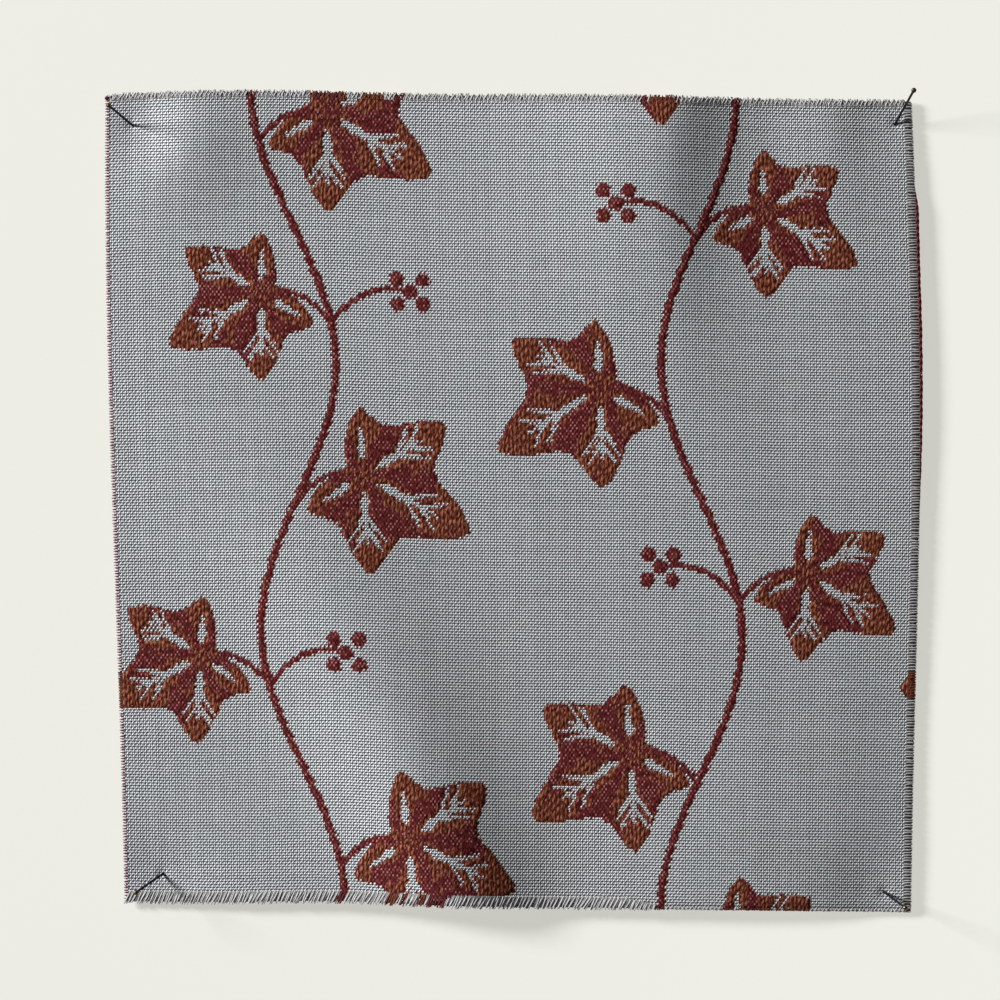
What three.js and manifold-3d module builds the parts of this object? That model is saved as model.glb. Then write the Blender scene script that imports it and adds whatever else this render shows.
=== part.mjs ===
// A sample of figured woven cloth, with a pin slanting through it at each corner.
//
// Units are millimetres. X runs to the right and Z up, and the cloth faces -Y. It lies in front
// of the plane y = 0. The origin is on that plane, behind the middle of the cloth.
import * as THREE from 'three';
import { mergeVertices } from 'three/addons/utils/BufferGeometryUtils.js';
import Module from 'manifold-3d';

const wasm = await Module();
wasm.setup();

// Cloth
const CLOTH_SIDE = 200;
const CLOTH_THICKNESS = 1.0;
const FIGURE_RELIEF = 0.4;
const CLOTH_CELLS = 32;

// Where the four cut corners lie in X and Z, pulled a little out of square
const CORNERS = {
  bottomLeft: new THREE.Vector2(-94.9, -98.7),
  bottomRight: new THREE.Vector2(98.9, -101.3),
  topLeft: new THREE.Vector2(-97.3, 99.7),
  topRight: new THREE.Vector2(97.7, 99.7),
};

// Bows of the four edges: how far out, where along the edge (0 to 1) and how wide
const EDGE_BOWS = {
  left: [{ out: -3.1, at: 0.8, width: 0.55 }],
  right: [{ out: 3.6, at: 0.63, width: 0.48 }],
  top: [{ out: 2.4, at: 0.17, width: 0.25 }, { out: 1.2, at: 0.59, width: 0.21 }],
  bottom: [{ out: 0.8, at: 0.27, width: 0.11 }],
};

// Pins: black steel shaft and brass coloured ball head
const PIN_LENGTH = 26;
const PIN_EXPOSED = 12;
const PIN_DIAMETER = 0.6;
const PIN_POINT = 3;
const PIN_SIDES = 12;
const HEAD_DIAMETER = 1.3;
const HEAD_RINGS = 6;
const HEAD_SEAT_GAP = 0.02;
const PIN_HOLE_CLEARANCE = 0.28;
const PIN_HOLE_LENGTH = 6;

// Where each pin enters the cloth, and how far its head stands from there along X and Z
const PINS = [
  { name: 'top_left', entry: [-93.6, 93.6], lean: [-5.2, 4.3] },
  { name: 'top_right', entry: [95.4, 94.0], lean: [4.1, 7.7] },
  { name: 'bottom_left', entry: [-86.0, -91.8], lean: [-6.1, -4.1] },
  { name: 'bottom_right', entry: [92.6, -96.3], lean: [4.7, -3.3] },
];
const PIN_DIMPLE_RADIUS = 10;

// Folds: the cloth stands off the plane between its pins. A fold's crest starts on the bottom or
// top edge at x = start, and moves to the side by lean and bend as it runs in from there. It
// fades and spreads on the way.
const BELLY = { lift: 0.9, spread: 0.009 };
const LOWER_FOLD = {
  start: -13.2, lean: -0.27, bend: -0.0015, height: 5.4, fade: 88,
  leftWidth: 17.5, rightWidth: 17.5, spread: 0.08,
};
const UPPER_FOLD = {
  start: 39, lean: -0.17, bend: 0.003, height: 3.6, fade: 60,
  leftWidth: 28, rightWidth: 14, spread: 0,
};
const SWELLINGS = [
  { x: -82, z: 92, xRadius: 13, zRadius: 19, height: 1.6 },
  { x: -68, z: 94, xRadius: 26, zRadius: 22, height: 1.1 },
  { x: 80, z: 93, xRadius: 10, zRadius: 28, height: 0.6 },
  { x: 100, z: 18, xRadius: 14, zRadius: 32, height: 0.2 },
  { x: 100, z: -65, xRadius: 14, zRadius: 38, height: -0.45 },
  { x: 52, z: -101, xRadius: 34, zRadius: 40, height: 1.9 },
  { x: -50, z: -101, xRadius: 30, zRadius: 25, height: 0.8 },
];

// Woven figure: ivy leaves and berries on stems that wander up the cloth, every second stem
// half a wave behind. Lengths are on the flat cloth, and a leaf's own are shares of its size.
const STEM_PLACES = [-54, 46, 146];
const STEM_WAVE_LENGTH = 134;
const STEM_SWING = 10;
const STEM_WIDTH = 2.0;
const STEM_OVERRUN = 10;
const STEM_STEPS = 22;
const LEAVES_PER_WAVE = 3;
const FIRST_LEAF = 0.2;
const LEAF_REACH = 17;
const LEAF_RISE = 7;
const LEAF_SIZE = 30;
const SMALL_LEAF = 0.88;
const LEAF_DROOP = 0.42;
const LEAF_SWAY = 0.2;
const LEAF_STEP = Math.PI / 12;
const LEAF_BASE = 0.15;
const LEAF_BODY = 0.27;
const LEAF_LOBES = [
  { at: 0, length: 0.56 },
  { at: Math.PI / 3, length: 0.42 },
  { at: (2 * Math.PI) / 3, length: 0.27 },
];
const LOBE_SPREAD = 0.37;
const LOBE_POINT = 1.45;
const STALK_WIDTH = 1.5;
const STALK_ARCH = 3;
const STALK_BEND = 0.45;
const STALK_STEPS = 4;
const BERRY_REACH = 19.5;
const BERRY_RISE = 8;
const BERRY_RADIUS = 1.9;
const BERRY_RING = 4.4;
const BERRY_SIDES = 6;
const PRISM_DEPTH = 14;

const lerp = THREE.MathUtils.lerp;

// Smooth hill of height 1 at distance 0
const hill = (distance, width) => Math.exp(-((distance / width) ** 2));

const bow = (bows, along) => bows.reduce((sum, b) => sum + b.out * hill(along - b.at, b.width), 0);

// Place in X and Z of a point of the flat cloth, whose own s and t run from -100 to 100
function placeOnPlane(s, t) {
  const u = s / CLOTH_SIDE + 0.5;
  const v = t / CLOTH_SIDE + 0.5;
  const { bottomLeft, bottomRight, topLeft, topRight } = CORNERS;
  const x = lerp(lerp(bottomLeft.x, bottomRight.x, u), lerp(topLeft.x, topRight.x, u), v);
  const z = lerp(lerp(bottomLeft.y, bottomRight.y, u), lerp(topLeft.y, topRight.y, u), v);
  return new THREE.Vector2(
    x + (1 - u) * bow(EDGE_BOWS.left, v) + u * bow(EDGE_BOWS.right, v),
    z + (1 - v) * bow(EDGE_BOWS.bottom, u) + v * bow(EDGE_BOWS.top, u),
  );
}

// Ridge with a slow rise on its left and a quick fall on its right, at a distance from its start
function ridge(x, fold, distance) {
  const along = Math.max(distance, 0);
  const crest = fold.start + fold.lean * along + fold.bend * along ** 2;
  const side = x < crest ? fold.leftWidth : fold.rightWidth;
  return fold.height * hill(along, fold.fade) * hill(x - crest, side + fold.spread * along);
}

const swelling = (x, z, s) => s.height * hill(x - s.x, s.xRadius) * hill(z - s.z, s.zRadius);

// How far the back of the cloth stands off the plane y = 0
function lift(x, z) {
  const half = CLOTH_SIDE / 2;
  let height = BELLY.lift * Math.cos(BELLY.spread * x) * Math.cos(BELLY.spread * z);
  height += ridge(x, LOWER_FOLD, half + z) + ridge(x, UPPER_FOLD, half - z);
  height += SWELLINGS.reduce((sum, place) => sum + swelling(x, z, place), 0);
  for (const pin of PINS) {
    const distance = Math.hypot(x - pin.entry[0], z - pin.entry[1]);
    height *= 1 - hill(distance, PIN_DIMPLE_RADIUS);
  }
  return height;
}

// Closed three.js geometry to a solid that can be joined and cut, and back
function toSolid(geometry) {
  geometry.deleteAttribute('normal');
  geometry.deleteAttribute('uv');
  const merged = mergeVertices(geometry, 1e-5);
  return new wasm.Manifold(new wasm.Mesh({
    numProp: 3,
    vertProperties: merged.attributes.position.array,
    triVerts: new Uint32Array(merged.index.array),
  }));
}

function toGeometry(solid) {
  const mesh = solid.getMesh();
  const geometry = new THREE.BufferGeometry();
  geometry.setAttribute('position', new THREE.BufferAttribute(mesh.vertProperties, 3));
  geometry.setIndex(new THREE.BufferAttribute(mesh.triVerts, 1));
  geometry.computeVertexNormals();
  return geometry;
}

// Layer of the cloth between two depths, counted forwards from its back, laid over the folds
function clothLayer(backDepth, frontDepth) {
  const depth = frontDepth - backDepth;
  const geometry = new THREE.BoxGeometry(CLOTH_SIDE, depth, CLOTH_SIDE, CLOTH_CELLS, 1, CLOTH_CELLS);
  geometry.translate(0, -(backDepth + frontDepth) / 2, 0);
  const position = geometry.attributes.position;
  for (let i = 0; i < position.count; i += 1) {
    const place = placeOnPlane(position.getX(i), position.getZ(i));
    position.setXYZ(i, place.x, position.getY(i) - lift(place.x, place.y), place.y);
  }
  return toSolid(geometry);
}

// Straight prism through the cloth over an outline drawn on the flat cloth
function prism(outline) {
  const shape = new THREE.Shape(outline.map((point) => placeOnPlane(point.x, point.y)));
  const geometry = new THREE.ExtrudeGeometry(shape, { depth: PRISM_DEPTH, bevelEnabled: false });
  geometry.rotateX(Math.PI / 2);
  return toSolid(geometry);
}

// Ribbon of even width along a curve
function ribbon(curve, width, steps) {
  const left = [];
  const right = [];
  for (let i = 0; i <= steps; i += 1) {
    const point = curve.getPoint(i / steps);
    const tangent = curve.getTangent(i / steps);
    const side = new THREE.Vector2(-tangent.y, tangent.x).multiplyScalar(width / 2);
    left.push(point.clone().add(side));
    right.push(point.clone().sub(side));
  }
  return [...left.reverse(), ...right];
}

const stemPoint = (index, t) => new THREE.Vector2(
  STEM_PLACES[index] + STEM_SWING * Math.sin((2 * Math.PI * t) / STEM_WAVE_LENGTH + index * Math.PI),
  t,
);

function stem(index) {
  const end = CLOTH_SIDE / 2 + STEM_OVERRUN;
  const points = [];
  for (let i = 0; i <= STEM_STEPS; i += 1) {
    points.push(stemPoint(index, lerp(-end, end, i / STEM_STEPS)));
  }
  return prism(ribbon(new THREE.SplineCurve(points), STEM_WIDTH, STEM_STEPS));
}

// Radius of a five lobed leaf of size 1 round the point where it joins its stalk, tip at angle 0
function leafRadius(angle) {
  let radius = LEAF_BASE + LEAF_BODY * Math.cos(angle / 2);
  for (const lobe of LEAF_LOBES) {
    const offset = Math.abs(Math.abs(angle) - lobe.at);
    radius += lobe.length * Math.exp(-((offset / LOBE_SPREAD) ** LOBE_POINT));
  }
  return radius;
}

const polar = (centre, radius, angle) => new THREE.Vector2(
  centre.x + radius * Math.cos(angle),
  centre.y + radius * Math.sin(angle),
);

function leaf(centre, size, turn) {
  const outline = [];
  for (let angle = -Math.PI; angle < Math.PI - LEAF_STEP / 2; angle += LEAF_STEP) {
    outline.push(polar(centre, size * leafRadius(angle), turn + angle));
  }
  return prism(outline);
}

// Stalk that leaves its stem upwards and curves over to what it carries
function stalk(from, to) {
  const bendX = lerp(from.x, to.x, STALK_BEND);
  const bend = new THREE.Vector2(bendX, Math.max(from.y, to.y) + STALK_ARCH);
  return prism(ribbon(new THREE.QuadraticBezierCurve(from, bend, to), STALK_WIDTH, STALK_STEPS));
}

function berry(centre) {
  const outline = [];
  for (let i = 0; i < BERRY_SIDES; i += 1) {
    outline.push(polar(centre, BERRY_RADIUS, (2 * Math.PI * i) / BERRY_SIDES));
  }
  return prism(outline);
}

// Bunch of berries: one in the middle of a ring of four
function bunch(centre) {
  const pieces = [berry(centre)];
  for (let i = 0; i < 4; i += 1) {
    pieces.push(berry(polar(centre, BERRY_RING, (i + 0.5) * (Math.PI / 2))));
  }
  return pieces;
}

// Leaves stand left and right of a stem in turn, with berries across from every second one
function spray(index) {
  const pieces = [stem(index)];
  const spacing = STEM_WAVE_LENGTH / LEAVES_PER_WAVE;
  const last = Math.ceil(CLOTH_SIDE / spacing);
  for (let i = -1; i <= last; i += 1) {
    const root = stemPoint(index, -CLOTH_SIDE / 2 + (i + FIRST_LEAF + 0.5 * (index % 2)) * spacing);
    const side = (i + index) % 2 === 0 ? 1 : -1;
    const size = LEAF_SIZE * (i % 2 === 0 ? 1 : SMALL_LEAF);
    const turn = side > 0 ? -LEAF_DROOP : Math.PI + LEAF_DROOP;
    const centre = new THREE.Vector2(root.x + side * LEAF_REACH, root.y + LEAF_RISE);
    pieces.push(leaf(centre, size, turn + LEAF_SWAY * Math.sin(3 * i + index)), stalk(root, centre));
    if (i % 2 !== 0) {
      const end = new THREE.Vector2(root.x - side * BERRY_REACH, root.y + BERRY_RISE);
      pieces.push(stalk(root, end), ...bunch(end));
    }
  }
  return pieces;
}

const pinDirection = (pin) => {
  const [x, z] = pin.lean;
  const forward = Math.sqrt(PIN_EXPOSED ** 2 - x ** 2 - z ** 2);
  return new THREE.Vector3(x, -forward, z).normalize();
};

const pinEntry = (pin) => new THREE.Vector3(
  pin.entry[0],
  -CLOTH_THICKNESS - lift(pin.entry[0], pin.entry[1]),
  pin.entry[1],
);

const pinTurn = (pin) => new THREE.Quaternion().setFromUnitVectors(
  new THREE.Vector3(0, 1, 0),
  pinDirection(pin),
);

// Slanting hole that a pin passes through
function pinHole(pin) {
  const radius = PIN_DIAMETER / 2 + PIN_HOLE_CLEARANCE;
  const geometry = new THREE.CylinderGeometry(radius, radius, PIN_HOLE_LENGTH, PIN_SIDES);
  geometry.applyQuaternion(pinTurn(pin));
  geometry.translate(...pinEntry(pin).toArray());
  return toSolid(geometry);
}

function makeCloth() {
  const figure = STEM_PLACES.flatMap((place, index) => spray(index));
  const raised = clothLayer(CLOTH_THICKNESS / 2, CLOTH_THICKNESS + FIGURE_RELIEF);
  let cloth = clothLayer(0, CLOTH_THICKNESS);
  cloth = cloth.add(raised.intersect(figure.reduce((all, piece) => all.add(piece))));
  for (const pin of PINS) {
    cloth = cloth.subtract(pinHole(pin));
  }
  const material = new THREE.MeshStandardMaterial({ color: 0x96999b, roughness: 0.9, metalness: 0 });
  const mesh = new THREE.Mesh(toGeometry(cloth), material);
  mesh.name = 'cloth';
  return mesh;
}

// Shaft along the pin's own Y axis, point down, with the cloth's face at y = 0
function makeShaft(pin) {
  const radius = PIN_DIAMETER / 2;
  const head = HEAD_DIAMETER / 2;
  const tip = -(PIN_LENGTH - PIN_EXPOSED - head);
  const seat = PIN_EXPOSED - Math.sqrt(head ** 2 - radius ** 2);
  const profile = [
    new THREE.Vector2(0, tip),
    new THREE.Vector2(radius, tip + PIN_POINT),
    new THREE.Vector2(radius, seat - HEAD_SEAT_GAP),
    new THREE.Vector2(0, seat - HEAD_SEAT_GAP),
  ];
  const material = new THREE.MeshStandardMaterial({ color: 0x101114, roughness: 0.3, metalness: 0.4 });
  const mesh = new THREE.Mesh(new THREE.LatheGeometry(profile, PIN_SIDES), material);
  mesh.name = `pin_shaft_${pin.name}`;
  return mesh;
}

// Ball with a small flat where the shaft's blunt end is fixed
function makeHead(pin) {
  const ball = HEAD_DIAMETER / 2;
  const seatAngle = Math.asin(PIN_DIAMETER / HEAD_DIAMETER);
  const profile = [new THREE.Vector2(0, PIN_EXPOSED - ball * Math.cos(seatAngle))];
  for (let i = 0; i < HEAD_RINGS; i += 1) {
    const angle = lerp(seatAngle, Math.PI, i / HEAD_RINGS);
    profile.push(new THREE.Vector2(ball * Math.sin(angle), PIN_EXPOSED - ball * Math.cos(angle)));
  }
  profile.push(new THREE.Vector2(0, PIN_EXPOSED + ball));
  const material = new THREE.MeshStandardMaterial({ color: 0x8a6a35, roughness: 0.35, metalness: 0.8 });
  const mesh = new THREE.Mesh(new THREE.LatheGeometry(profile, PIN_SIDES), material);
  mesh.name = `pin_head_${pin.name}`;
  return mesh;
}

function makePin(pin) {
  const group = new THREE.Group();
  group.position.copy(pinEntry(pin));
  group.quaternion.copy(pinTurn(pin));
  group.add(makeShaft(pin), makeHead(pin));
  return group;
}

const sample = new THREE.Group();
sample.add(makeCloth(), ...PINS.map(makePin));

export default sample;
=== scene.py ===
"""A figured cloth sample on its four pins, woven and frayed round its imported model.

Sizes in the tables below are in millimetres where nothing else is said, and every mesh is made in
metres. X runs to the right, Z up, and the cloth faces -Y. The flat cloth has coordinates of its
own: s to the right and t up, both from -100 to 100.
"""

import math

import bmesh
import bpy
import numpy as np
from bpy.props import FloatProperty, FloatVectorProperty, IntProperty, PointerProperty
from mathutils import Matrix, Vector


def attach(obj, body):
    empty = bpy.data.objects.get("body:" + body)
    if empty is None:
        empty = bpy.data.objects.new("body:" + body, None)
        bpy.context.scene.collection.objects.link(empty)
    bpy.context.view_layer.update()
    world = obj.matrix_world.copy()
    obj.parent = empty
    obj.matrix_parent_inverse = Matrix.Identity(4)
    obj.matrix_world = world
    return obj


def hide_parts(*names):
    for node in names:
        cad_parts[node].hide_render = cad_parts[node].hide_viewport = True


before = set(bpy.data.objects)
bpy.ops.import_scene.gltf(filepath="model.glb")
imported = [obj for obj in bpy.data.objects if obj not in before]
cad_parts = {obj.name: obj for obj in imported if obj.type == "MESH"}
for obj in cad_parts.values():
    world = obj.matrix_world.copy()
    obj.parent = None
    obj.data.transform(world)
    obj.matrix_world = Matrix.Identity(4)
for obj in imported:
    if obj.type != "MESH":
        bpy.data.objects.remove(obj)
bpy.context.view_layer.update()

bl_info = {
    "name": "Pinned fabric sample",
    "version": (1, 0, 0),
    "blender": (4, 5, 0),
    "location": "View3D > Sidebar > Fabric",
    "description": "Weaves a figured cloth, frays its cut edges and finishes its pins",
    "category": "Object",
}

MM = 0.001
SEED = 41
BAKED_MAP = "OFBake"

# Cloth: side, half side, thickness, reach of the woven meshes, and where their face rounds off
SIDE = 200.0
HALF = SIDE / 2
THICKNESS = 1.0
WOVEN_LEFT, WOVEN_RIGHT = -99.8, 99.5
WOVEN_BOTTOM, WOVEN_TOP = -99.8, 99.6
EDGE_ROUNDING = 0.9

# How deep each cut has come loose, so that only the yarns across it are left. The bottom is
# firmer on the right: its depth changes round a place along it, over a width. The last value is
# the width over which the weave itself goes from firm to loose.
LOOSE_LEFT, LOOSE_RIGHT, LOOSE_TOP = 0.7, 1.8, 1.3
LOOSE_BOTTOM, FIRM_BOTTOM = 2.6, 0.4
FIRM_PLACE, FIRM_CHANGE = 32.0, 15.0
LOOSE_CHANGE = 0.6

# Corners of the cut cloth in the plane that the pins enter, as x and z
BOTTOM_LEFT = (-94.9, -98.7)
BOTTOM_RIGHT = (98.9, -101.3)
TOP_LEFT = (-97.3, 99.7)
TOP_RIGHT = (97.7, 99.7)

# Bows of the edges: how far out, where along the edge from 0 to 1, and how wide
LEFT_BOWS = [(-3.1, 0.8, 0.55)]
RIGHT_BOWS = [(3.6, 0.63, 0.48)]
TOP_BOWS = [(2.4, 0.17, 0.25), (1.2, 0.59, 0.21)]
BOTTOM_BOWS = [(0.8, 0.27, 0.11)]

# Pins: where each enters the cloth, and how far its head stands from there along x and z
PINS = {
    "top_left": ((-93.6, 93.6), (-5.2, 4.3)),
    "top_right": ((95.4, 94.0), (4.1, 7.7)),
    "bottom_left": ((-86.0, -91.8), (-6.1, -4.1)),
    "bottom_right": ((92.6, -96.3), (4.7, -3.3)),
}
DIMPLE_RADIUS = 10.0
PUCKER_RADIUS = 1.3
PUCKER_DEPTH = 0.35

# Turned shape of a pin: sections of its point and of its wire, as shares of their length; how far
# the shaft's end lies under the ball's middle, as a share of the ball's radius; its shoulder, as
# distances under that end and shares of the shaft's radius; and the ball's arc, in half turns from
# its bottom
POINT_SHARES = (0.12, 0.3, 0.55, 0.8, 1.0)
WIRE_SHARES = (0.33, 0.66)
SEAT_SHARE = 0.92
SHOULDER = [(0.5, 1.0), (0.2, 1.15), (0.0, 1.2)]
BALL_START, BALL_END, BALL_STEPS = 0.18, 0.97, 14

# Folds of the cloth
BELLY_LIFT, BELLY_SPREAD = 0.9, 0.009
LOWER_FOLD = dict(start=-13.2, lean=-0.27, bend=-0.0015, height=5.4, fade=88,
                  left=17.5, right=17.5, spread=0.08)
UPPER_FOLD = dict(start=39, lean=-0.17, bend=0.003, height=3.6, fade=60,
                  left=28, right=14, spread=0)

# Swellings of the cloth: x, z, the radius along each, and the height
SWELLINGS = [(-82, 92, 13, 19, 1.6), (-68, 94, 26, 22, 1.1), (80, 93, 10, 28, 0.6),
             (100, 18, 14, 32, 0.2), (100, -65, 14, 38, -0.45), (52, -101, 34, 40, 1.9),
             (-50, -101, 30, 25, 0.8)]

# Woven figure: wandering stems with ivy leaves and bunches of berries
STEM_PLACES = (-54.0, 46.0, 146.0)
STEM_WAVE_LENGTH = 134.0
STEM_SWING = 10.0
STEM_WIDTH = 2.0
STEM_RUST = 0.15
LEAVES_PER_WAVE = 3
FIRST_LEAF = 0.2
LEAF_REACH, LEAF_RISE = 17.0, 7.0
LEAF_SIZE, SMALL_LEAF = 30.0, 0.88
LEAF_DROOP, LEAF_SWAY = 0.42, 0.2
LEAF_BASE, LEAF_BODY = 0.15, 0.27
LEAF_LOBES = [(0.0, 0.56), (math.pi / 3, 0.42), (2 * math.pi / 3, 0.27)]
LOBE_SPREAD, LOBE_POINT = 0.37, 1.45
STALK_WIDTH, STALK_ARCH, STALK_BEND, STALK_STEPS = 1.5, 3.0, 0.45, 10
BERRY_REACH, BERRY_RISE = 19.5, 8.0
BERRY_RADIUS, BERRY_RING = 1.9, 4.4

# Slits of bare ground along a leaf's veins. Places and lengths are shares of the leaf's size or of
# its lobe's reach, and widths are half widths. A main vein starts at VEIN_MOUTH of its width and
# widens to the whole of it, at a rate of one width in VEIN_OPENING of its length. All veins taper.
VEIN_START, VEIN_END = 0.15, 0.70
VEIN_WIDTH, VEIN_TAPER = 1.15, 0.75
VEIN_MOUTH, VEIN_OPENING = 0.35, 0.25
SIDE_VEINS = [(0.30, 0.26), (0.50, 0.20)]
SIDE_VEIN_TURN, SIDE_VEIN_WIDTH, SIDE_VEIN_TAPER = 0.62, 0.62, 0.6

# Border of the figure: how far cells move it in and out by turns, how far a random draw moves it,
# and how wide it rises
BORDER_STEP, BORDER_STRAY, BORDER_SLOPE = 0.15, 0.2, 0.9

# Relief, as shares of a crown's height: how uneven crowns and floats are, how deep the gaps
# between the figure's ribs lie, how far a rib sinks where a float ends, and the back's crowns
CROWN_STRAY, FLOAT_STRAY = 0.25, 0.3
RIB_GAP, FLOAT_END = 0.6, 0.5
BACK_RELIEF = 0.6

# Yarns in the cloth's layers, numbered as their materials
PALE, MID, DARK, RUST, WINE, ROSE = range(6)

# Layers of upright ends along the top and the bottom: place between two crowns, height over the
# face, radius, plain yarn, slant in degrees and its spread
TOP_LAYERS = [(0.25, -0.06, 0.23, MID, 0, 8), (0.75, -0.06, 0.23, MID, 0, 8),
              (0.0, 0.04, 0.16, PALE, -32, 5), (0.5, 0.12, 0.16, PALE, 31, 5)]
BOTTOM_LAYERS = [(0.45, -0.06, 0.23, MID, 27, 4), (0.78, -0.04, 0.22, PALE, 28, 4),
                 (0.12, 0.08, 0.21, PALE, 28, 4)]

# Layers of level ends on the left and the right: place between two rows, height over the face,
# radius, plain yarn, share in dark red, and share of the usual reach
LEFT_LAYERS = [(0.5, -0.05, 0.22, ROSE, 0.0, 0.7), (0.0, 0.10, 0.13, WINE, 0.5, 0.9)]
RIGHT_LAYERS = [(0.5, -0.08, 0.20, DARK, 0.0, 1.0), (0.0, 0.10, 0.19, PALE, 0.0, 1.0)]

# Upright ends: where they start on the left, what they leave free of the width, how far they stray
# along the edge, their least reach as a share, and the loose depth that gives them all of it
UPRIGHT_START, UPRIGHT_FREE, UPRIGHT_STRAY = 1.2, 2, 0.1
UPRIGHT_LEAST, UPRIGHT_DEPTH = 0.1, 1.5

# Level ends: how far they stray along the edge, their least reach as a share, and their slant
LEVEL_STRAY, LEVEL_LEAST, LEVEL_SLANT = 0.05, 0.6, 0.04

# One end: its places as shares of its length, how far it bows aside, dips at its tip and strays in
# height, how uneven its radius is, and the radius of its tip as a share
END_SHARES = np.array([0.0, 0.35, 0.7, 1.0])
END_BOW, END_DIP, END_STRAY = 0.12, 0.12, 0.05
END_SWELL, END_TIP = 0.1, 0.7

# Dark red yarn down the upper right cut: its run and the steps along it, how deep its ends are
# tucked in, its height over the cloth's back, its radius at the ends and what the middle has more,
# and the length of one turn of its plies
EDGE_THREAD_PLACE, EDGE_THREAD_TOP, EDGE_THREAD_BOTTOM = 99.85, 80.0, -10.0
EDGE_THREAD_STEP, EDGE_THREAD_TUCK, EDGE_THREAD_HEIGHT = 0.27, 0.5, 0.7
EDGE_THREAD_THIN, EDGE_THREAD_SWELL, EDGE_THREAD_TWIST = 0.14, 0.38, 5.0

# Yarn that curls at the top left corner: its place, points, radius and length of one turn
KNOT_PLACE = (-99.6, 99.0)
KNOT_POINTS, KNOT_RADIUS, KNOT_TWIST = 41, 0.24, 1.6

# Radius of one ply as a share of its yarn's
PLY_SHARE = 0.62

# Waves of the ground weave: cycles in a column and in a row, phase, and size as a share of white.
# They are the level rows, the lean of the crowns both ways, the ribs, and how sharp a crown is, and
# they paint the crowns' light and shade into the tone.
GROUND_WAVES = [(0.0, 1.0, 1.4, 0.29), (0.5, -0.5, 0.0, 0.21), (0.5, 0.5, 0.0, 0.055),
                (1.0, 0.0, 0.6, 0.17), (0.667, 0.0, 0.0, 0.12), (0.667, -1.0, 0.0, 0.13),
                (1.0, -1.0, 0.0, 0.18)]

# Middle tone of the ground; how strong its waves are at the weakest crossing and how much more at
# the strongest; and how far a crossing's two threads together and each small patch stray in tone
GROUND_TONE = 0.53
CROSSING_LEAST, CROSSING_SPREAD = 0.9, 0.24
THREAD_STRAY, PATCH_STRAY = 0.03, 0.04

# Figure weave: rows in a float, and the lean of floats and of crowns, in threads
FLOAT_ROWS, FLOAT_LEAN, CROWN_LEAN = 3.0, 0.8, 0.3

# Height that a shader's relief of 1 stands for
BUMP_DEPTH = 0.05

# Backdrop: how far it stands behind the plane that the pins enter, half its side in metres, and
# the rise of its glow in each metre, which evens out how the key light falls off
BACKDROP_GAP = 0.4
BACKDROP_REACH = 4.0
EVEN_GLOW = (0.7, 0.0, -0.22)

# Lights, in metres: the key rakes over the cloth from the upper left
KEY_PLACE = (-1.917, -0.798, 0.72)
REAR_PLACE, REAR_SIZE = (-0.5, 1.2, 0.5), 0.6

# Middle of the camera's view, as x and z
VIEW_MIDDLE = (-2.475, 0.74)


def lerp(a, b, share):
    return a + (b - a) * share


def hill(distance, width):
    """Smooth hill of height 1 at distance 0."""
    return np.exp(-(distance / width) ** 2)


def smooth_step(value):
    value = np.clip(value, 0, 1)
    return value * value * (3 - 2 * value)


def bow(bows, along):
    return sum(out * hill(along - at, width) for out, at, width in bows)


def place_on_plane(s, t):
    """Place in the plane that the pins enter, as x and z, of a point of the flat cloth."""
    u, v = s / SIDE + 0.5, t / SIDE + 0.5
    x = lerp(lerp(BOTTOM_LEFT[0], BOTTOM_RIGHT[0], u), lerp(TOP_LEFT[0], TOP_RIGHT[0], u), v)
    z = lerp(lerp(BOTTOM_LEFT[1], BOTTOM_RIGHT[1], u), lerp(TOP_LEFT[1], TOP_RIGHT[1], u), v)
    x = x + (1 - u) * bow(LEFT_BOWS, v) + u * bow(RIGHT_BOWS, v)
    z = z + (1 - v) * bow(BOTTOM_BOWS, u) + v * bow(TOP_BOWS, u)
    return x, z


def ridge(x, fold, distance):
    """Fold with a rise on its left, a fall on its right, and a crest that leans and bends."""
    along = np.maximum(distance, 0)
    crest = fold["start"] + fold["lean"] * along + fold["bend"] * along ** 2
    side = np.where(x < crest, fold["left"], fold["right"]) + fold["spread"] * along
    return fold["height"] * hill(along, fold["fade"]) * hill(x - crest, side)


def lift(x, z):
    """How far the cloth's back stands off the plane that the pins enter."""
    height = BELLY_LIFT * np.cos(BELLY_SPREAD * x) * np.cos(BELLY_SPREAD * z)
    height = height + ridge(x, LOWER_FOLD, HALF + z) + ridge(x, UPPER_FOLD, HALF - z)
    for at_x, at_z, x_radius, z_radius, most in SWELLINGS:
        height = height + most * hill(x - at_x, x_radius) * hill(z - at_z, z_radius)
    for (at_x, at_z), _ in PINS.values():
        height = height * (1 - hill(np.hypot(x - at_x, z - at_z), DIMPLE_RADIUS))
    return height


def pucker(x, z):
    """How far the face is pressed in round the pins."""
    return sum(PUCKER_DEPTH * hill(np.hypot(x - at_x, z - at_z), PUCKER_RADIUS)
               for (at_x, at_z), _ in PINS.values())


# The woven figure as a distance on the flat cloth, above 0 inside it

def stem_place(index, t):
    phase = 2 * math.pi * t / STEM_WAVE_LENGTH + index * math.pi
    return STEM_PLACES[index] + STEM_SWING * math.sin(phase)


def leaf_radius(angle):
    """Radius of a five lobed leaf of size 1 round its stalk's end, tip at angle 0."""
    radius = LEAF_BASE + LEAF_BODY * np.cos(angle / 2)
    for at, length in LEAF_LOBES:
        offset = np.abs(np.abs(angle) - at)
        radius = radius + length * np.exp(-(offset / LOBE_SPREAD) ** LOBE_POINT)
    return radius


def distance_to_line(s, t, start, end):
    """Distance to a straight line, and the share of its length where the nearest point lies."""
    ds, dt = end[0] - start[0], end[1] - start[1]
    share = np.clip(((s - start[0]) * ds + (t - start[1]) * dt) / (ds * ds + dt * dt), 0, 1)
    return np.hypot(s - start[0] - share * ds, t - start[1] - share * dt), share


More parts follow.
